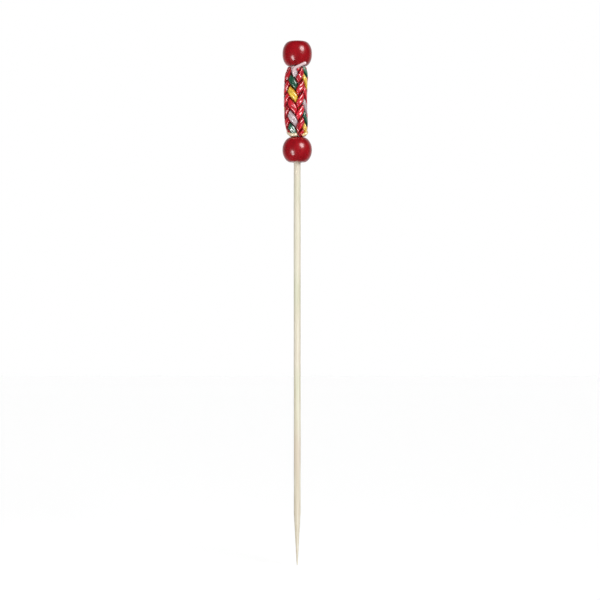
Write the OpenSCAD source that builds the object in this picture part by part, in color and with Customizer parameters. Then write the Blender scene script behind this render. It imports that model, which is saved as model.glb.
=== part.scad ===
// Bamboo cocktail pick: a pointed round skewer that carries two lacquered wooden beads,
// with a braided sleeve of twenty-four satin strands held between them.
// The point is at the origin and the skewer runs up +Z to the beads. Sizes are in millimetres.

/* [Skewer] */
// Length of the whole pick, from its point to the top of the upper bead
pick_len = 150; // [120:1:200]
// Diameter of the skewer
skewer_d = 2; // [1.6:0.1:3]
// Length of the sharpened point
point_len = 15; // [8:1:30]
// Diameter of the blunted end of the point
point_d = 0.3; // [0.2:0.1:0.8]
// Depth of the skewer's cut end below the top of the upper bead
end_recess = 0.4; // [0.1:0.1:1]

/* [Beads] */
// Diameter of the ball that a bead is turned from
bead_d = 8.5; // [7:0.1:12]
// Depth that is cut off the ball at each end of its hole
bead_cut = 0.75; // [0.4:0.05:1.2]
// Width by which the edge of each cut face is softened
bead_edge = 0.5; // [0.2:0.1:1]
// Width of the chamfer at each end of the hole
hole_chamfer = 0.25; // [0.1:0.05:0.5]
// Thickness of the film of glue between the skewer and a bead
glue_t = 0.1; // [0.05:0.05:0.3]

/* [Sleeve] */
// Length of the braided sleeve between the beads
sleeve_len = 20.4; // [12:0.1:30]
// Length along the skewer of one full turn of a strand
turn_len = 42; // [32:0.1:64]
// Thickness of a strand at its middle
strand_t = 1.12; // [0.8:0.05:1.6]
// Gap between neighbouring strands that wind the same way, measured round the skewer
lane_gap = 0.12; // [0.05:0.01:0.3]
// Play between strands that cross, and between the sleeve and the skewer
play = 0.08; // [0.04:0.01:0.15]
// Gap between the cut ends of the strands and the beads
seat_gap = 0.05; // [0.02:0.01:0.2]
// Amount by which each end of the sleeve is drawn in, on the radius
end_draw = 0.5; // [0:0.05:0.6]
// Length over which each end is drawn in
end_draw_len = 4; // [2:0.5:6]
// Most that a strand is shifted along the skewer, which lays its floats flatter and its hidden parts steeper
float_lean = 0.6; // [0:0.05:0.8]
// Length over which the shift sets in at each end of the sleeve
lean_len = 2; // [1.5:0.1:4]
// Direction of the first column of coloured floats round the skewer, from +X
column_angle = -115; // [-180:1:180]
// Depth of the first coloured float below the top of the sleeve
first_float = 1.8; // [0:0.1:4]

/* [Hidden] */
$fn = 96;

bamboo = "#e9dcc3";
lacquer = "#a3141e";
resin = "#d9c79a";
satin_red = "#c4122c";
satin_white = "#f1ecec";
satin_green = "#1f7a55";
satin_yellow = "#f0c63c";

// The coloured strands in their order round the skewer, with their colours
COLOURED = [
    ["white_strand_1", satin_white], ["red_strand", satin_red],
    ["yellow_strand", satin_yellow], ["green_strand_1", satin_green],
    ["white_strand_2", satin_white], ["red_strand_2", satin_red],
    ["yellow_strand_2", satin_yellow], ["green_strand_2", satin_green],
    ["white_strand_3", satin_white], ["red_strand_3", satin_red],
    ["yellow_strand_3", satin_yellow], ["green_strand_3", satin_green]
];

// Heights of the pieces along the skewer
bead_h = bead_d - 2 * bead_cut;
upper_bead_z = pick_len - bead_h;
sleeve_top = upper_bead_z - seat_gap;
lower_bead_top = sleeve_top - sleeve_len - seat_gap;
lower_bead_z = lower_bead_top - bead_h;
skewer_top = pick_len - end_recess;

// The bead's outline: a round side, a flat face and a softened edge halfway between their slopes
hole_r = skewer_d / 2 + glue_t;
face_z = bead_h / 2;
face_r = sqrt((bead_d - bead_cut) * bead_cut);
edge_x = face_r - bead_edge / 2;
edge_slope = (90 - atan2(face_z, face_r)) / 2;
edge_out = bead_d / 2 + bead_edge - edge_x;
edge_drop = edge_out * tan(edge_slope);

// The braid: each way has as many lanes as there are coloured strands,
// and each float passes over as many strands of the other way as float_span
lanes = len(COLOURED);
lane = 360 / lanes;
float_span = 3;
columns = lanes / float_span;
rise = (strand_t + play) / 2;
inner_r = skewer_d / 2 + play;
mid_r = inner_r + rise + strand_t / 2;
outer_r = mid_r + rise + strand_t / 2;
half_lane = (lane - lane_gap * 360 / (2 * PI * mid_r)) / 2;
end_share = 1 - end_draw / (outer_r - inner_r);

// Strands are cut into rings on one grid that both ways share, so strands that cross never cut each other
grid_per_lane = 3;
grid_angle = lane / grid_per_lane;
grid_depth = turn_len * grid_angle / 720;
least_step = grid_depth / 10;
RINGS = concat(
    [0],
    [
        for (depth = [first_float % grid_depth:grid_depth:sleeve_len])
            if (depth > least_step && depth < sleeve_len - least_step) depth
    ],
    [sleeve_len]
);
last_ring = len(RINGS) - 1;

// A strand's section, left edge, outer side, right edge, inner side: [angle from its middle, side]
SECTION = [
    [-half_lane, 0], [-grid_angle / 2, 1], [grid_angle / 2, 1],
    [half_lane, 0], [grid_angle / 2, -1], [-grid_angle / 2, -1]
];
corners = len(SECTION);

// Fall from 1 to -1 as share goes from 0 to 1, level at both ends
function fall(share) = sin(90 * cos(180 * share));

// Thickness of a strand at an angle from its middle, as a share of its full thickness
function swell(angle) = fall(abs(angle) / lane);

// Height of a strand in the weave, from 1 over the strands it crosses to -1 under them.
// place is counted in lanes of the other way, from the middle of a float
function weave(place) =
    let (
        past = abs(place) % (2 * float_span),
        from_middle = min(past, 2 * float_span - past)
    )
    fall(max(0, min(1, from_middle - (float_span - 1) / 2)));

// Share of the full radius that the sleeve has at a depth below its top
function drawn_in(depth) =
    let (from_end = min(depth, sleeve_len - depth, end_draw_len))
    1 - (1 - end_share) * (1 + cos(180 * from_end / end_draw_len)) / 2;

// Shift along the skewer of whatever lies at an angle and a depth, the same for both ways
function lean(angle, depth) =
    let (share = min(1, depth / lean_len, (sleeve_len - depth) / lean_len))
    -float_lean * sin(columns * angle) * sin(90 * share);

// A point of a strand: way is 1 or -1, off is its angle from the middle of the lane
function strand_point(index, way, off, side, depth) =
    let (
        turn = way * 360 * (depth - first_float) / turn_len,
        angle = index * lane + off + turn,
        over = way * weave((angle + turn) / lane + index),
        height = mid_r - inner_r + rise * over + side * strand_t / 2 * swell(off),
        radius = inner_r + height * drawn_in(depth)
    )
    [
        radius * cos(column_angle + angle),
        radius * sin(column_angle + angle),
        sleeve_top - depth - lean(angle, depth)
    ];

// One strand, woven over and under the strands that wind the other way
module strand(index, way) {
    points = [for (depth = RINGS, c = SECTION) strand_point(index, way, c[0], c[1], depth)];
    // Each patch is folded along the crest of the weave, which leans the other way from the strand
    sides = [
        for (ring = [0:last_ring - 1], c = [0:corners - 1])
            let (
                a = ring * corners + c,
                b = ring * corners + (c + 1) % corners,
                below_a = a + corners,
                below_b = b + corners
            )
            each (way > 0) == (c < corners / 2) ?
                [[a, b, below_a], [b, below_b, below_a]] :
                [[a, b, below_b], [a, below_b, below_a]]
    ];
    upper_end = [for (c = [corners - 1:-1:0]) c];
    lower_end = [for (c = [0:corners - 1]) last_ring * corners + c];
    polyhedron(points, concat(sides, [upper_end, lower_end]));
}

module coloured_strand(index) {
    color(COLOURED[index][1]) strand(index, 1);
}

module cross_strand(index) {
    color(satin_red) strand(index, -1);
}

// The chamfers at both ends of a bead's hole, as half outlines that run past its faces
module hole_chamfers() {
    for (end = [0, 1]) mirror([0, end])
        translate([hole_r, face_z])
            polygon([
                [-hole_chamfer, -2 * hole_chamfer],
                [2 * hole_chamfer, hole_chamfer],
                [-hole_chamfer, hole_chamfer]
            ]);
}

module bead_outline() {
    difference() {
        intersection() {
            circle(d = bead_d);
            polygon([
                [hole_r, -face_z],
                [edge_x, -face_z],
                [edge_x + edge_out, edge_drop - face_z],
                [edge_x + edge_out, face_z - edge_drop],
                [edge_x, face_z],
                [hole_r, face_z]
            ]);
        }
        hole_chamfers();
    }
}

module bead(bottom) {
    color(lacquer) translate([0, 0, bottom + face_z]) rotate_extrude() bead_outline();
}

// The film of glue that fills a bead's hole round the skewer
module glue(bottom, top) {
    color(resin) translate([0, 0, bottom]) difference() {
        cylinder(r = hole_r, h = top - bottom);
        translate([0, 0, -glue_t]) cylinder(d = skewer_d, h = top - bottom + 2 * glue_t);
    }
}

module skewer() {
    color(bamboo) {
        cylinder(d1 = point_d, d2 = skewer_d, h = point_len);
        translate([0, 0, point_len]) cylinder(d = skewer_d, h = skewer_top - point_len);
    }
}

module upper_bead() {
    bead(upper_bead_z);
}

module lower_bead() {
    bead(lower_bead_z);
}

module upper_glue() {
    glue(upper_bead_z + hole_chamfer, min(skewer_top, pick_len - hole_chamfer));
}

module lower_glue() {
    glue(lower_bead_z + hole_chamfer, lower_bead_top - hole_chamfer);
}

skewer();
upper_bead();
lower_bead();
upper_glue();
lower_glue();
for (index = [0:lanes - 1])
    coloured_strand(index);
for (index = [0:lanes - 1])
    cross_strand(index);
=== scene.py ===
"""The looks of a bamboo cocktail pick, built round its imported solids."""
import math

import bpy
import numpy as np
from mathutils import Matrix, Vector


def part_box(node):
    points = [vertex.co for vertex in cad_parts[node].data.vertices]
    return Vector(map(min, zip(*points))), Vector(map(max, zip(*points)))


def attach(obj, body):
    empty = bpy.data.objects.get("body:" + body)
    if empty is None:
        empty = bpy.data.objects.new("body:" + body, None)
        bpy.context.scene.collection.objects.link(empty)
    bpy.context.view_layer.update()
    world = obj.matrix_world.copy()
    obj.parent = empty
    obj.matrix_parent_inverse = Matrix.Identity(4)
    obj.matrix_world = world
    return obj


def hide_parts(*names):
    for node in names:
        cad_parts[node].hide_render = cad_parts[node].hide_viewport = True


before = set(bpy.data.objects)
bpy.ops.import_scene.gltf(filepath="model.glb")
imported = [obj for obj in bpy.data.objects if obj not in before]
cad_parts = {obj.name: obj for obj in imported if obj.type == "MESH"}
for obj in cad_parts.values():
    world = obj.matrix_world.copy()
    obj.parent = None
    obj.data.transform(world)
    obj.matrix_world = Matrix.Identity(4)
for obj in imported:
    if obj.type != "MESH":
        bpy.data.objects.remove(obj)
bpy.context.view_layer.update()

MM = 0.001
SEED = 11

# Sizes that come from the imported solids, in millimetres
skewer_low, skewer_high = (np.array(corner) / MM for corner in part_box("skewer"))
upper_low, upper_high = (np.array(corner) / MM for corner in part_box("upper_bead"))
lower_low, lower_high = (np.array(corner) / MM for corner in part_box("lower_bead"))
strand_low, strand_high = (np.array(corner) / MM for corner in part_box("white_strand_1"))
skewer_r = skewer_high[0]
skewer_top = skewer_high[2]
bead_r = upper_high[0]
bead_h = upper_high[2] - upper_low[2]
sleeve_top = strand_high[2]
sleeve_bottom = strand_low[2]
sleeve_len = sleeve_top - sleeve_bottom

# Sizes of the skewer and the beads that their boxes don't give, in millimetres
point_len = 15.0
point_r = 0.15
hole_r = 1.1
hole_chamfer = 0.25
bead_edge = 0.5

# The skewer's surface, in millimetres: fibres are raised along it, from a skin a little inside its solid
skewer_sides = 72
point_rings = 60
shaft_rings = 180
skin = 0.015
fibre_height = 0.012

# Its point is whittled in facets, which set in above the tip
facets = 9
facet_depth = 0.02
facet_start = 2.0

# It swells and thins along its length, by a share of its radius
swelling = 0.008
swelling_len = 9.0
swelling_shift = 3.0

# Its cut end has a soft edge and a slight hollow, a little above the last plain ring
end_plain = 0.2
end_soft = 0.05
end_soft_len = 0.06
end_hollow = 0.03

# A bead's side is as full as a ball at 2, and squarer above that. Its edges are drawn in by a short curve
bead_sides = 96
bead_rings = 49
BEAD_FULLNESS = {"upper_bead": 2.3, "lower_bead": 2.1}
edge_len = 0.9 * bead_edge
edge_in = 0.16

# A bead's end, in millimetres: the hole's wall behind the chamfer, and the soft edges of chamfer and face
wall_len = 0.4
wall_flare = 0.01
mouth_drop = 0.015
mouth_width = 0.08
face_drop = 0.012
face_drop_start = 0.35
face_drop_end = 0.12

# Hand-turned beads are never quite round: a little oval and a little three-sided, by shares of the radius
oval_share = 0.004
lobe_share = 0.003

# The braid, in millimetres and degrees
lanes = 12
float_span = 3
turn_len = 42.0
strand_t = 1.12
lane_gap = 0.12
play = 0.08
end_draw = 0.5
end_draw_len = 4.0
float_lean = 0.9
lean_len = 2.3
column_angle = -115.0
first_float = 1.2
lane = 360.0 / lanes
float_columns = lanes / float_span
rise = (strand_t + play) / 2
inner_r = skewer_r + play
mid_r = inner_r + rise + strand_t / 2
outer_r = mid_r + rise + strand_t / 2
half_lane = (lane - lane_gap * 360 / (2 * math.pi * mid_r)) / 2
end_share = 1 - end_draw / (outer_r - inner_r)

# Necks at the ends of the sleeve, as shares of its radius, and their lengths
upper_neck = 0.16
upper_neck_len = 3.5
lower_neck = 0.70
lower_neck_len = 0.9

# The braid is slack on one side, where its strands stand further off the skewer
slack = 0.22
slack_angle = 180.0

# Each strand is a smooth satin cord with rounded ends, which are narrower and unevenly cut
outer_samples = 30
inner_samples = 10
ring_step = 0.11
end_round = 0.45
end_width = 0.8
end_uneven = 0.25
lower_gap = 0.05

# Shallow creases run along a strand, and wander in waves of (size in radians, radians a millimetre)
creases = 2
crease_depth = 0.06
CREASE_WAVES = [(0.5, 0.45), (0.24, 1.3)]

# Its floats arch up in the middle, by a height that changes along it
arch_height = 0.06
arch_change = 0.35
arch_rate = 0.9

# Phases drawn for a strand: three set its waves, and the draws that follow depend on their count
phase_draws = 5

# A strand's tone: its own tint, painted shade in the grooves of its creases, and painted shade at its edges,
# where it passes under and over its inner side, where it is also less glossy
tint_range = 0.12
painted_crease_shade = 0.15
painted_shade_tone = -0.6
edge_start = 0.6
under_start = 0.3

# A strand's ends are worn over a short length
worn_len = 1.2
worn_power = 1.5

# Loose ends of cords, as points of (angle from the front, height above an end of the sleeve, radius).
# cord_end is the share of the radius at a cord's ends, and cord_step how far its pattern runs at each point
front_angle = -90.0
cord_r = 0.42
cord_sides = 20
cord_end = 0.7
cord_step = 0.2
UPPER_TAIL = [(-15, -3.2, 2.7), (-19, -2.2, 3.05), (-20, -1.4, 3.05), (-12, -0.8, 3.0),
              (10, -0.25, 3.05), (29, 0.3, 3.3), (42, 0.65, 3.6)]
LOWER_TAIL = [(-78, 2.4, 2.4), (-70, 1.6, 2.8), (-57, 0.95, 3.0), (-36, 0.6, 2.9), (-16, 0.55, 2.75),
              (-6, 0.65, 2.3)]
RIGHT_TAIL = [(78, 2.6, 1.7), (69, 1.9, 2.6), (57, 1.25, 3.3), (46, 0.75, 3.2), (36, 0.55, 2.6)]

COLOURED = ["white_strand_1", "red_strand", "yellow_strand", "green_strand_1",
            "white_strand_2", "red_strand_2", "yellow_strand_2", "green_strand_2",
            "white_strand_3", "red_strand_3", "yellow_strand_3", "green_strand_3"]
CROSS = [f"cross_strand_{k}" for k in range(1, lanes + 1)]

# Where the photograph puts the pick: image rows of its two ends, and the column of its axis
IMAGE_SIDE = 600
TIP_ROW = 565.0
TOP_ROW = 41.8
AXIS_COLUMN = 297.2

# The camera, in millimetres
LENS = 100.0
SENSOR = 36.0

# Light of the surround: soft light from in front and behind, and the dark that gloss mirrors in front
FRONT_LIGHT = 0.42
BACK_LIGHT = 0.12
DARK_SIDE = 0.02

# Where that light changes, as a direction's share of +Y, which points away from the camera
SOFT_SPAN = 0.7
WHITE_START = 0.2
WHITE_END = 1.2

# The floor, in metres, its grey, and the glow that it shows to the camera
FLOOR_HALF = 1.2
FLOOR_DROP = 0.0004
FLOOR_GREY = 0.86
FLOOR_GLOW = 0.42


# Meshes

def add_mesh(name, points, faces, material, uvs=None, values=None):
    """Make a mesh object from points in millimetres. uvs and named values are given for each point."""
    mesh = bpy.data.meshes.new(name)
    mesh.from_pydata((np.asarray(points) * MM).tolist(), [], faces)
    if uvs is not None:
        layer = mesh.uv_layers.new(name="UVMap")
        loops = np.empty(len(mesh.loops), dtype=np.int32)
        mesh.loops.foreach_get("vertex_index", loops)
        layer.data.foreach_set("uv", np.asarray(uvs, dtype=np.float32)[loops].ravel())
    for key, numbers in (values or {}).items():
        attribute = mesh.attributes.new(key, "FLOAT", "POINT")
        attribute.data.foreach_set("value", np.asarray(numbers, dtype=np.float32))
    mesh.validate()
    mesh.polygons.foreach_set("use_smooth", [True] * len(mesh.polygons))
    mesh.materials.append(material)
    obj = bpy.data.objects.new(name, mesh)
    bpy.context.scene.collection.objects.link(obj)
    return obj


def circle(sides):
    """Angles of points spaced evenly round a circle."""
    return np.linspace(0, 2 * math.pi, sides, endpoint=False)


def ring_of(radius, height, sides):
    """Points of a ring round the skewer. radius is one number, or one for each point."""
    turn = circle(sides)
    return np.stack([radius * np.cos(turn), radius * np.sin(turn), np.full(sides, height)], axis=1)


def grid_faces(rows, columns, start=0, closed=False):
    """Faces between rings of points, one ring to a row. closed also joins the last ring to the first."""
    faces = []
    for row in range(rows if closed else rows - 1):
        here = start + row * columns
        there = start + (row + 1) % rows * columns
        for column in range(columns):
            after = (column + 1) % columns
            faces.append((here + column, here + after, there + after, there + column))
    return faces


def fan_faces(start, columns, centre, flip=False):
    """Faces that close a ring of points with one more point. flip turns them to face the other way."""
    faces = [(start + column, start + (column + 1) % columns, centre) for column in range(columns)]
    return [face[::-1] for face in faces] if flip else faces


def sweep(path, radii, sides, start):
    """A tube along a path that doesn't start upright, with a point at each end: its points and faces."""
    along = np.gradient(path, axis=0)
    along /= np.linalg.norm(along, axis=1, keepdims=True)
    side = np.cross(along[0], [0.0, 0.0, 1.0])
    turn = circle(sides)
    rings = []
    for centre, way, radius in zip(path, along, radii):
        side = side - way * np.dot(side, way)
        side /= np.linalg.norm(side)
        up = np.cross(way, side)
        rings.append(centre + radius * (np.outer(np.cos(turn), side) + np.outer(np.sin(turn), up)))
    tips = [path[0] - along[0] * radii[0], path[-1] + along[-1] * radii[-1]]
    points = np.concatenate([*rings, tips])
    last_tip = start + len(points) - 1
    faces = grid_faces(len(path), sides, start)
    faces += fan_faces(start, sides, last_tip - 1, flip=True)
    faces += fan_faces(start + (len(path) - 1) * sides, sides, last_tip)
    return points, faces


# Materials

def new_material(name):
    """A material with a plain shader, its node tree and the shader."""
    material = bpy.data.materials.new(name)
    material.use_nodes = True
    return material, material.node_tree, material.node_tree.nodes["Principled BSDF"]


def add_node(tree, kind, inputs=None, **settings):
    """Add a node, set its properties, then its inputs: a socket is linked and a value is stored."""
    node = tree.nodes.new(kind)
    for key, value in settings.items():
        setattr(node, key, value)
    for key, value in (inputs or {}).items():
        if isinstance(value, bpy.types.NodeSocket):
            tree.links.new(value, node.inputs[key])
        else:
            node.inputs[key].default_value = value
    return node


def combined(tree, operation, first, second):
    """Two numbers combined by an operation such as ADD or MAXIMUM."""
    return add_node(tree, "ShaderNodeMath", {0: first, 1: second}, operation=operation).outputs["Value"]


def ranged(tree, value, low, high, start=0.0, end=1.0):
    """A number that goes from low to high while a value goes from start to end."""
    return add_node(
        tree, "ShaderNodeMapRange",
        {"Value": value, "From Min": start, "From Max": end, "To Min": low, "To Max": high},
    ).outputs["Result"]


def mixed(tree, share, first, second):
    """A number that goes from the first to the second while share goes from 0 to 1."""
    return add_node(tree, "ShaderNodeMix", {0: share, 2: first, 3: second}, data_type="FLOAT").outputs[0]


def multiplied(tree, colour, by, share=1.0):
    """A colour multiplied by another one, in full or by a share."""
    return add_node(
        tree, "ShaderNodeMixRGB", {"Fac": share, "Color1": colour, "Color2": by}, blend_type="MULTIPLY",
    ).outputs["Color"]


def ramp(tree, factor, stops):
    """A colour ramp through (position, colour) stops."""
    node = add_node(tree, "ShaderNodeValToRGB", {"Fac": factor})
    elements = node.color_ramp.elements
    while len(elements) < len(stops):
        elements.new(0.5)
    for element, (position, colour) in zip(elements, stops):
        element.position = position
        element.color = (*colour, 1.0)
    return node.outputs["Color"]


def stretched_noise(tree, coordinate, scale, detail, roughness=0.5):
    """Noise over a coordinate, with its own scale on each axis."""
    mapping = add_node(tree, "ShaderNodeMapping", {"Vector": coordinate, "Scale": scale})
    return add_node(
        tree, "ShaderNodeTexNoise",
        {"Vector": mapping.outputs["Vector"], "Scale": 1.0, "Detail": detail, "Roughness": roughness},
    ).outputs["Fac"]


def set_surface(tree, shader, colour, rough, height=None, strength=0.0, distance=0.0):
    """Give a shader its colour and roughness, and a bump where a height is given. distance is in metres."""
    tree.links.new(colour, shader.inputs["Base Color"])
    tree.links.new(rough, shader.inputs["Roughness"])
    if height is not None:
        bump = add_node(tree, "ShaderNodeBump",
                        {"Height": height, "Strength": strength, "Distance": distance})
        tree.links.new(bump.outputs["Normal"], shader.inputs["Normal"])


def bamboo_material():
    """Pale wood with fibres along the skewer, darker streaks and a slow drift of tint."""
    material, tree, shader = new_material("bamboo")
    place = add_node(tree, "ShaderNodeTexCoord").outputs["Object"]
    fibre = stretched_noise(tree, place, (7000, 7000, 70), detail=4.0, roughness=0.6)
    streak = stretched_noise(tree, place, (2200, 2200, 18), detail=2.0)
    drift = stretched_noise(tree, place, (120, 120, 45), detail=1.0)
    wood = ramp(tree, fibre, [(0.30, (0.54, 0.47, 0.355)), (0.48, (0.72, 0.69, 0.59)),
                              (0.70, (0.785, 0.78, 0.705))])
    tint = ramp(tree, drift, [(0.35, (0.95, 0.88, 0.84)), (0.50, (1.0, 0.97, 0.92)),
                              (0.65, (0.93, 0.96, 0.86))])
    shade = ramp(tree, streak, [(0.35, (0.86, 0.82, 0.74)), (0.55, (1.0, 1.0, 1.0))])
    colour = multiplied(tree, multiplied(tree, wood, tint), shade, share=0.8)
    rough = ranged(tree, fibre, 0.62, 0.42)
    set_surface(tree, shader, colour, rough, fibre, strength=0.3, distance=0.00006)
    return material


def lacquer_material():
    """Clear-coated red over a faint grain, with clouds in it and a slightly uneven surface."""
    material, tree, shader = new_material("red_lacquer")
    place = add_node(tree, "ShaderNodeTexCoord").outputs["Object"]
    grain = stretched_noise(tree, place, (900, 900, 160), detail=3.0)
    cloud = stretched_noise(tree, place, (350, 350, 350), detail=2.0)
    peel = stretched_noise(tree, place, (700, 700, 700), detail=1.0)
    red = ramp(tree, grain, [(0.30, (0.25, 0.001, 0.005)), (0.55, (0.34, 0.002, 0.008)),
                             (0.75, (0.39, 0.004, 0.010))])
    depth = ramp(tree, cloud, [(0.35, (0.88, 0.85, 0.85)), (0.60, (1.0, 1.0, 1.0))])
    rough = ranged(tree, cloud, 0.22, 0.32)
    set_surface(tree, shader, multiplied(tree, red, depth), rough, peel, strength=0.04, distance=0.00005)
    shader.inputs["Coat Weight"].default_value = 0.5
    shader.inputs["Coat Roughness"].default_value = 0.16
    return material


def glue_material():
    """Cloudy, yellowish resin."""
    material, tree, shader = new_material("glue")
    place = add_node(tree, "ShaderNodeTexCoord").outputs["Object"]
    cloud = stretched_noise(tree, place, (1800, 1800, 1800), detail=2.0)
    colour = ramp(tree, cloud, [(0.35, (0.46, 0.33, 0.14)), (0.65, (0.70, 0.57, 0.32))])
    set_surface(tree, shader, colour, ranged(tree, cloud, 0.25, 0.45))
    return material


def satin_material(name, dark, middle, pale, worn):
    """Satin cord: fine filaments along the strand, painted shade and a thinner coat at its edges and where
    it passes under, and ends worn to a colour of their own.
    """
    material, tree, shader = new_material(name)
    tint_and_shade, end, shine = (
        add_node(tree, "ShaderNodeAttribute", attribute_name=key).outputs["Fac"]
        for key in ("tint_and_shade", "worn", "shine")
    )
    along = add_node(tree, "ShaderNodeUVMap", uv_map="UVMap").outputs["UV"]
    filament = stretched_noise(tree, along, (14, 0.5, 1), detail=3.0)
    cloud = stretched_noise(tree, along, (1.2, 0.45, 1), detail=2.0)
    # A strand's own tint and its painted shade come in with its tone, which moves the colour along the ramp
    lifted = combined(tree, "ADD", combined(tree, "ADD", filament, cloud), tint_and_shade)
    share = ranged(tree, lifted, 0.0, 1.0, start=0.6, end=1.5)
    colour = ramp(tree, share, [(0.10, dark), (0.50, middle), (0.95, pale)])
    aged = add_node(tree, "ShaderNodeMixRGB", {"Fac": end, "Color1": colour, "Color2": (*worn, 1.0)})
    rough = ranged(tree, filament, 0.28, 0.38)
    set_surface(tree, shader, aged.outputs["Color"], rough, filament, strength=0.10, distance=0.00004)
    tree.links.new(shine, shader.inputs["Coat Weight"])
    shader.inputs["Specular IOR Level"].default_value = 0.7
    shader.inputs["Coat IOR"].default_value = 1.9
    shader.inputs["Coat Roughness"].default_value = 0.17
    return material


# A satin colour runs from a dark stop, reached where the filament noise is low and where painted shade
# lowers the tone, through its own colour to a pale stop; the last colour is that of its worn ends
SATIN = {
    "red": satin_material("satin_red", (0.27, 0.001, 0.006), (0.72, 0.005, 0.022), (0.90, 0.016, 0.050),
                          (0.45, 0.05, 0.05)),
    "white": satin_material("satin_white", (0.38, 0.25, 0.27), (0.66, 0.55, 0.57), (0.90, 0.85, 0.85),
                            (0.84, 0.60, 0.62)),
    "green": satin_material("satin_green", (0.004, 0.055, 0.028), (0.014, 0.145, 0.072),
                            (0.050, 0.29, 0.16), (0.30, 0.42, 0.30)),
    "yellow": satin_material("satin_yellow", (0.60, 0.26, 0.012), (0.95, 0.69, 0.07),
                             (0.97, 0.82, 0.28), (0.86, 0.70, 0.48)),
}
BAMBOO = bamboo_material()
LACQUER = lacquer_material()
GLUE = glue_material()


# The skewer and the beads

def make_skewer():
    """The skewer, with its fibres raised along its length and a whittled point."""
    draw = np.random.default_rng(SEED)
    fibre = draw.uniform(-1, 1, skewer_sides)
    fibre = (fibre + np.roll(fibre, 1)) / 2
    facet = np.cos(facets * circle(skewer_sides))
    shift = swelling_shift * draw.uniform(-1, 1)
    heights = np.concatenate([
        np.linspace(0, point_len, point_rings),
        np.linspace(point_len, skewer_top - end_plain, shaft_rings)[1:],
        [skewer_top - end_soft_len, skewer_top],
    ])
    rings = []
    for height in heights:
        share = min(height / point_len, 1.0)
        radius = point_r + (skewer_r - point_r) * share - skin
        swollen = 1 + swelling * math.sin(height / swelling_len + shift) * share
        ridge = fibre_height * fibre * share
        whittled = facet_depth * facet * (1 - share) * min(1.0, height / facet_start)
        soft = end_soft if height == skewer_top else 0.0
        rings.append(ring_of(radius * swollen + ridge + whittled - soft, height, skewer_sides))
    points = np.concatenate([*rings, [(0, 0, skewer_top - end_hollow), (0, 0, 0)]])
    tip = len(points) - 1
    faces = grid_faces(len(rings), skewer_sides)
    faces += fan_faces((len(rings) - 1) * skewer_sides, skewer_sides, tip - 1)
    faces += fan_faces(0, skewer_sides, tip, flip=True)
    return add_mesh("bamboo_skewer", points, faces, BAMBOO)


def make_bead(name, bottom, fullness, seed):
    """A turned ball with its ends cut flat, their edges softened, and a chamfered hole."""
    draw = np.random.default_rng(seed)
    half = bead_h / 2
    side = []
    for angle in np.linspace(-math.pi / 2, math.pi / 2, bead_rings):
        height = half * math.sin(angle)
        radius = bead_r * (1 - abs(height / bead_r) ** fullness) ** (1 / fullness)
        ease = max(0.0, 1 - (half - abs(height)) / edge_len)
        side.append((radius - edge_in * ease ** 2, height))
    # One end, from the wall of the hole out to the edge of the face, as (radius, depth below the face)
    flat_r = side[0][0]
    mouth_r = hole_r + hole_chamfer
    end = [
        (hole_r, hole_chamfer + wall_len), (hole_r + wall_flare, hole_chamfer),
        (mouth_r, mouth_drop), (mouth_r + mouth_width, 0.0),
        (flat_r - face_drop_start, 0.0), (flat_r - face_drop_end, face_drop),
    ]
    outline = [(radius, depth - half) for radius, depth in end] + side
    outline += [(radius, half - depth) for radius, depth in reversed(end)]
    middle = bottom + half
    points = np.concatenate([ring_of(radius, middle + height, bead_sides) for radius, height in outline])
    # The turned surface beyond the hole is uneven
    turn = np.arctan2(points[:, 1], points[:, 0])
    phase = draw.uniform(0, 2 * math.pi, 2)
    oval = oval_share * (1 + np.cos(2 * turn + phase[0])) / 2
    lobes = lobe_share * (1 + np.cos(3 * turn + phase[1])) / 2
    beyond = np.hypot(points[:, 0], points[:, 1]) > hole_r + 2 * hole_chamfer
    points[beyond, :2] *= (1 - oval - lobes)[beyond, None]
    return add_mesh(name, points, grid_faces(len(outline), bead_sides, closed=True), LACQUER)


# The strands

def fall(share):
    """Fall from 1 to -1 as share goes from 0 to 1, level at both ends."""
    return np.sin(np.pi / 2 * np.cos(np.pi * share))


def swell(angle):
    """Thickness of a strand at an angle from its middle, as a share of its full thickness."""
    return fall(np.abs(angle) / lane)


def from_float(place):
    """Distance from the middle of the nearest float. place is counted in lanes of the other way."""
    past = np.abs(place) % (2 * float_span)
    return np.minimum(past, 2 * float_span - past)


def weave(place):
    """Height of a strand in the weave, from 1 over the strands it crosses to -1 under them."""
    return fall(np.clip(from_float(place) - (float_span - 1) / 2, 0, 1))


def arch(place):
    """Arch of a float, from 1 at its middle to 0 at its ends."""
    return np.cos(np.pi / 2 * np.clip(2 * from_float(place) / float_span, 0, 1)) ** 2


def drawn_in(depth):
    """Share of the full radius that the sleeve has at a depth below its top, with a neck at each end."""
    from_end = np.clip(np.minimum(depth, sleeve_len - depth), 0, end_draw_len)
    share = 1 - (1 - end_share) * (1 + np.cos(np.pi * from_end / end_draw_len)) / 2
    upper = upper_neck * np.clip(1 - depth / upper_neck_len, 0, 1)
    lower = lower_neck * np.clip(1 - (sleeve_len - depth) / lower_neck_len, 0, 1)
    return share * (1 - upper - lower)


def lean(angle, depth):
    """Shift along the skewer of whatever lies at an angle and a depth, the same for both ways."""
    share = np.clip(np.minimum(depth, sleeve_len - depth) / lean_len, 0, 1)
    return -float_lean * np.sin(np.radians(float_columns * angle)) * np.sin(np.pi / 2 * share)


def run_of(index, way, off, depth):
    """Angle round the skewer of a point of a strand, and its place along the weave."""
    turn = way * 360 * (depth - first_float) / turn_len
    angle = index * lane + off + turn
    place = (angle + turn) / lane + index
    if way < 0:
        place = place + float_span
    return angle, place


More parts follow.
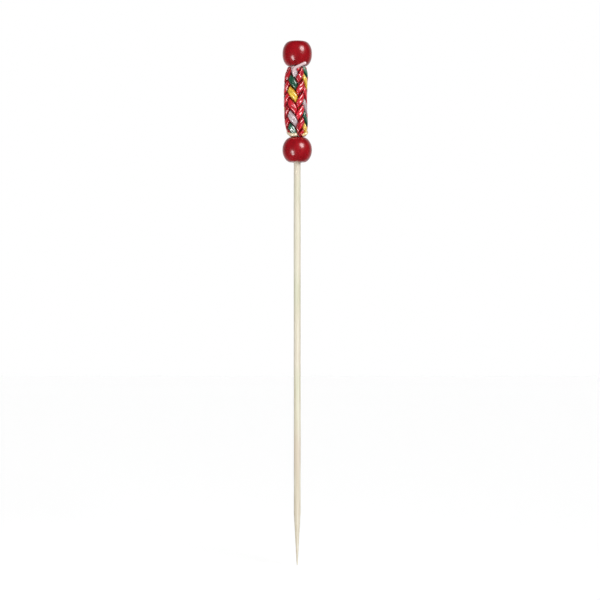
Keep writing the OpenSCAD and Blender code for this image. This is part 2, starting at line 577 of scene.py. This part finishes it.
def strand_surface(index, way, off, thick, depth, lift):
    """Points of a strand at angles off its middle. thick runs from -1, inner side, to 1, outer side.

    lift is the height of the arch on its floats."""
    angle, place = run_of(index, way, off, depth)
    height = mid_r - inner_r + rise * weave(place) + thick * strand_t / 2
    height = height + lift * arch(place) * np.clip(thick, 0, 1)
    around = np.radians(column_angle + angle)
    loose = 1 + slack * np.cos(around - math.radians(slack_angle)) * np.sin(np.pi * depth / sleeve_len)
    radius = inner_r + height * drawn_in(depth) * loose
    level = sleeve_top - depth - lean(angle, depth)
    return np.stack([radius * np.cos(around), radius * np.sin(around), level], axis=-1)


def strand_points(index, way, draw):
    """Points of a strand, their uvs and named values, and the counts of its rings and of points in one."""
    outer = np.linspace(-1, 1, outer_samples + 1)
    inner = np.linspace(1, -1, inner_samples + 2)[1:-1]
    across = np.concatenate([outer, inner])
    is_outer = np.arange(len(across)) < len(outer)
    full = swell(across * half_lane)
    edge = np.clip((np.abs(across) - edge_start) / (1 - edge_start), 0, 1)
    phase = draw.uniform(0, 2 * math.pi, phase_draws)
    start = draw.uniform(0.0, end_uneven)
    length = sleeve_len - start - draw.uniform(lower_gap, lower_gap + end_uneven)
    tint = draw.uniform(-tint_range, tint_range)
    rings = int(round(length / ring_step)) + 1
    points, uvs = [], []
    values = {"tint_and_shade": [], "worn": [], "shine": []}
    for run in np.linspace(0, length, rings):
        depth = np.full(len(across), start + run)
        wander = sum(size * math.sin(rate * run + shift) for (size, rate), shift in zip(CREASE_WAVES, phase))
        crease = 0.5 - 0.5 * np.cos(math.pi * creases * (across + 1) + wander)
        groove = crease_depth * (1 - crease) * np.clip(full, 0, 1) * 2 / strand_t
        lift = arch_height * (1 + arch_change * math.sin(arch_rate * run + phase[2]))
        # Both ends close in a round tip
        from_end = min(run, length - run)
        tip = math.sqrt(1 - max(0.0, 1 - from_end / end_round) ** 2)
        thick = np.where(is_outer, full - groove, -full) * tip
        off = across * half_lane * (end_width + (1 - end_width) * tip)
        points.append(strand_surface(index, way, off, thick, depth, lift))
        uvs.append(np.stack([across, depth], axis=1))
        # Painted shade: the tone is lowered at the strand's edges, where it passes under the other way and
        # over its whole inner side, and the coat is thinner there too
        under = np.clip(under_start - weave(run_of(index, way, across * half_lane, depth)[1]), 0, 1)
        shade_and_dullness = np.maximum(edge, under)
        # Painted shade in the creases: the tone is a little lower in their grooves and higher on their
        # crests
        tint_and_shade = tint + painted_crease_shade * (crease - 0.5) + painted_shade_tone * shade_and_dullness
        values["tint_and_shade"].append(np.where(is_outer, tint_and_shade, painted_shade_tone))
        values["worn"].append(np.full(len(across), max(0.0, 1 - from_end / worn_len) ** worn_power))
        values["shine"].append(np.where(is_outer, 1 - shade_and_dullness, 0.0))
    values = {key: np.concatenate(numbers) for key, numbers in values.items()}
    return np.concatenate(points), np.concatenate(uvs), values, rings, len(across)


def rounded(corners, rounds=4, cut=0.25):
    """A smooth path near some corners, which are cut off in rounds. Its ends stay in place."""
    path = np.asarray(corners, dtype=float)
    for _ in range(rounds):
        early = (1 - cut) * path[:-1] + cut * path[1:]
        late = cut * path[:-1] + (1 - cut) * path[1:]
        inside = np.stack([early, late], axis=1).reshape(-1, 3)
        path = np.concatenate([path[:1], inside, path[-1:]])
    return path


def tail_path(corners, end_height):
    """Path of a loose cord from its corners round the sleeve, in millimetres."""
    angle, above, radius = rounded(corners).T
    around = np.radians(front_angle + angle)
    return np.stack([radius * np.cos(around), radius * np.sin(around), end_height + above], axis=1)


def make_strand(name, index, way, material, seed, tail=None, tail_worn=0.0):
    """A strand as a mesh. tail is the path of a loose end that belongs to it, and tail_worn its wear."""
    points, uvs, values, rows, columns = strand_points(index, way, np.random.default_rng(seed))
    # Rings run from left to right over the outer side, which faces outwards when they go down the sleeve
    faces = [face[::-1] for face in grid_faces(rows, columns)]
    last_ring = (rows - 1) * columns
    faces += fan_faces(0, columns, len(points))
    faces += fan_faces(last_ring, columns, len(points) + 1, flip=True)
    points = np.concatenate([points, [points[:columns].mean(axis=0), points[last_ring:].mean(axis=0)]])
    uvs = np.concatenate([uvs, [(0.0, 0.0), (0.0, sleeve_len)]])
    extra = [{"tint_and_shade": 0.0, "worn": 1.0, "shine": 0.5}] * 2
    if tail is not None:
        radii = np.full(len(tail), cord_r)
        radii[[0, -1]] *= cord_end
        cord, cord_faces = sweep(tail, radii, cord_sides, len(points))
        faces += cord_faces
        steps = np.repeat(np.arange(len(tail)), cord_sides) * cord_step
        turns = np.tile(np.abs(np.linspace(-1, 1, cord_sides)), len(tail))
        points = np.concatenate([points, cord])
        uvs = np.concatenate([uvs, np.stack([turns, steps], axis=1), [(0.0, 0.0), (0.0, steps[-1])]])
        extra += [{"tint_and_shade": 0.0, "worn": tail_worn, "shine": 1.0}] * len(cord)
    values = {key: np.append(numbers, [more[key] for more in extra]) for key, numbers in values.items()}
    return add_mesh(name, points, faces, material, uvs, values)


def colour_of(node):
    """Colour of a strand, which is the first word of its name unless it is a cross strand."""
    word = node.split("_")[0]
    return "red" if word == "cross" else word


# The pieces, each in the place of its solid

skewer = make_skewer()
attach(skewer, "root")
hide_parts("skewer")

for name, low, seed in (("upper_bead", upper_low, SEED + 10), ("lower_bead", lower_low, SEED + 11)):
    bead = make_bead(f"turned_{name}", low[2], BEAD_FULLNESS[name], seed)
    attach(bead, "root")
    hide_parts(name)

for name in ("upper_glue", "lower_glue"):
    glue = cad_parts[name]
    glue.data.materials.clear()
    glue.data.materials.append(GLUE)

# Loose ends by the strand that they belong to: the path, and how worn the cord is
TAILS = {
    "white_strand_1": (tail_path(UPPER_TAIL, sleeve_top), 0.7),
    "yellow_strand_3": (tail_path(RIGHT_TAIL, sleeve_bottom), 0.55),
    "yellow_strand_2": (tail_path(LOWER_TAIL, sleeve_bottom), 1.0),
}
for names, way in ((COLOURED, 1), (CROSS, -1)):
    for index, name in enumerate(names):
        colour = colour_of(name)
        seed = SEED + 10 * index + way
        tail, tail_worn = TAILS.get(name, (None, 0.0))
        piece = make_strand(f"satin_{name}", index, way, SATIN[colour], seed, tail, tail_worn)
        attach(piece, "root")
        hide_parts(name)


# The stage: a pale floor, a white surround, soft lamps and the camera

def make_floor():
    """A pale floor, with a glow for the camera that makes it look nearly white."""
    mesh = bpy.data.meshes.new("floor")
    corners = [(x * FLOOR_HALF, y * FLOOR_HALF, 0) for x, y in ((-1, -1), (1, -1), (1, 1), (-1, 1))]
    mesh.from_pydata(corners, [], [(0, 1, 2, 3)])
    floor = bpy.data.objects.new("floor", mesh)
    floor.location.z = -FLOOR_DROP
    bpy.context.scene.collection.objects.link(floor)
    material = bpy.data.materials.new("pale_floor")
    material.use_nodes = True
    tree = material.node_tree
    tree.nodes.clear()
    paper = add_node(tree, "ShaderNodeBsdfDiffuse", {"Color": (FLOOR_GREY, FLOOR_GREY, FLOOR_GREY, 1)})
    ray = add_node(tree, "ShaderNodeLightPath").outputs
    seen = combined(tree, "MAXIMUM", ray["Is Camera Ray"], ray["Is Glossy Ray"])
    shown = combined(tree, "MAXIMUM", seen, ray["Is Transmission Ray"])
    level = combined(tree, "MULTIPLY", shown, FLOOR_GLOW)
    glow = add_node(tree, "ShaderNodeEmission", {"Color": (1, 1, 1, 1), "Strength": level})
    both = add_node(tree, "ShaderNodeAddShader", {0: paper.outputs["BSDF"], 1: glow.outputs["Emission"]})
    add_node(tree, "ShaderNodeOutputMaterial", {"Surface": both.outputs["Shader"]})
    mesh.materials.append(material)
    floor.visible_glossy = False


def make_world():
    """White to the camera. Gloss mirrors it white behind the object and dark in front.

    Its soft light on the object comes more from the front than from behind."""
    world = bpy.data.worlds.new("studio")
    bpy.context.scene.world = world
    world.use_nodes = True
    tree = world.node_tree
    tree.nodes.clear()
    way = add_node(tree, "ShaderNodeTexCoord").outputs["Generated"]
    depth = add_node(tree, "ShaderNodeSeparateXYZ", {"Vector": way}).outputs["Y"]
    behind = ranged(tree, depth, 0.0, 1.0, start=WHITE_START, end=WHITE_END)
    soft = ranged(tree, depth, FRONT_LIGHT, BACK_LIGHT, start=-SOFT_SPAN, end=SOFT_SPAN)
    ray = add_node(tree, "ShaderNodeLightPath").outputs
    mirrored = combined(tree, "MAXIMUM", ray["Is Glossy Ray"], ray["Is Transmission Ray"])
    backdrop = combined(tree, "MULTIPLY", mirrored, behind)
    shown = combined(tree, "MAXIMUM", ray["Is Camera Ray"], backdrop)
    level = mixed(tree, shown, mixed(tree, mirrored, soft, DARK_SIDE), 1.0)
    background = add_node(tree, "ShaderNodeBackground", {"Color": (1, 1, 1, 1), "Strength": level})
    add_node(tree, "ShaderNodeOutputWorld", {"Surface": background.outputs["Background"]})


def add_lamp(name, data, direction):
    """Add a lamp that shines from a direction and that the camera doesn't see."""
    lamp = bpy.data.objects.new(name, data)
    lamp.rotation_mode = "QUATERNION"
    lamp.rotation_quaternion = Vector(direction).to_track_quat("Z", "Y")
    lamp.visible_camera = False
    bpy.context.scene.collection.objects.link(lamp)
    return lamp


def make_sun(name, direction, angle, strength, shines=True):
    """A soft lamp far away, which lights the whole floor evenly. shines is whether gloss shows it."""
    data = bpy.data.lights.new(name, "SUN")
    data.angle = math.radians(angle)
    data.energy = strength
    add_lamp(name, data, direction).visible_glossy = shines


def make_lamp(name, direction, distance, width, height, power):
    """A soft lamp that shines on the pick's head. Its sizes are in metres."""
    data = bpy.data.lights.new(name, "AREA")
    data.shape = "RECTANGLE"
    data.size = width
    data.size_y = height
    data.energy = power
    target = Vector((0, 0, (upper_low[2] + lower_high[2]) / 2 * MM))
    add_lamp(name, data, direction).location = target + Vector(direction).normalized() * distance


def make_camera():
    """A level camera that sees the pick where the photograph has it."""
    mm_per_pixel = (upper_high[2] - skewer_low[2]) / (TIP_ROW - TOP_ROW)
    middle_x = (IMAGE_SIDE / 2 - AXIS_COLUMN) * mm_per_pixel
    middle_z = (TIP_ROW - IMAGE_SIDE / 2) * mm_per_pixel
    distance = IMAGE_SIDE * mm_per_pixel * LENS / SENSOR
    data = bpy.data.cameras.new("camera")
    data.lens = LENS
    data.sensor_width = SENSOR
    camera = bpy.data.objects.new("camera", data)
    camera.location = (middle_x * MM, -distance * MM, middle_z * MM)
    camera.rotation_euler = (math.pi / 2, 0, 0)
    bpy.context.scene.collection.objects.link(camera)
    bpy.context.scene.camera = camera


make_floor()
make_world()
make_sun("key", direction=(0.58, -0.67, 0.46), angle=30.0, strength=2.15)
make_sun("back", direction=(-0.15, 0.98, 0.1), angle=30.0, strength=2.0, shines=False)
make_lamp("fill", direction=(-0.56, -0.71, -0.42), distance=0.27, width=0.075, height=0.15, power=0.42)
make_camera()
bpy.context.scene.view_settings.view_transform = "Standard"
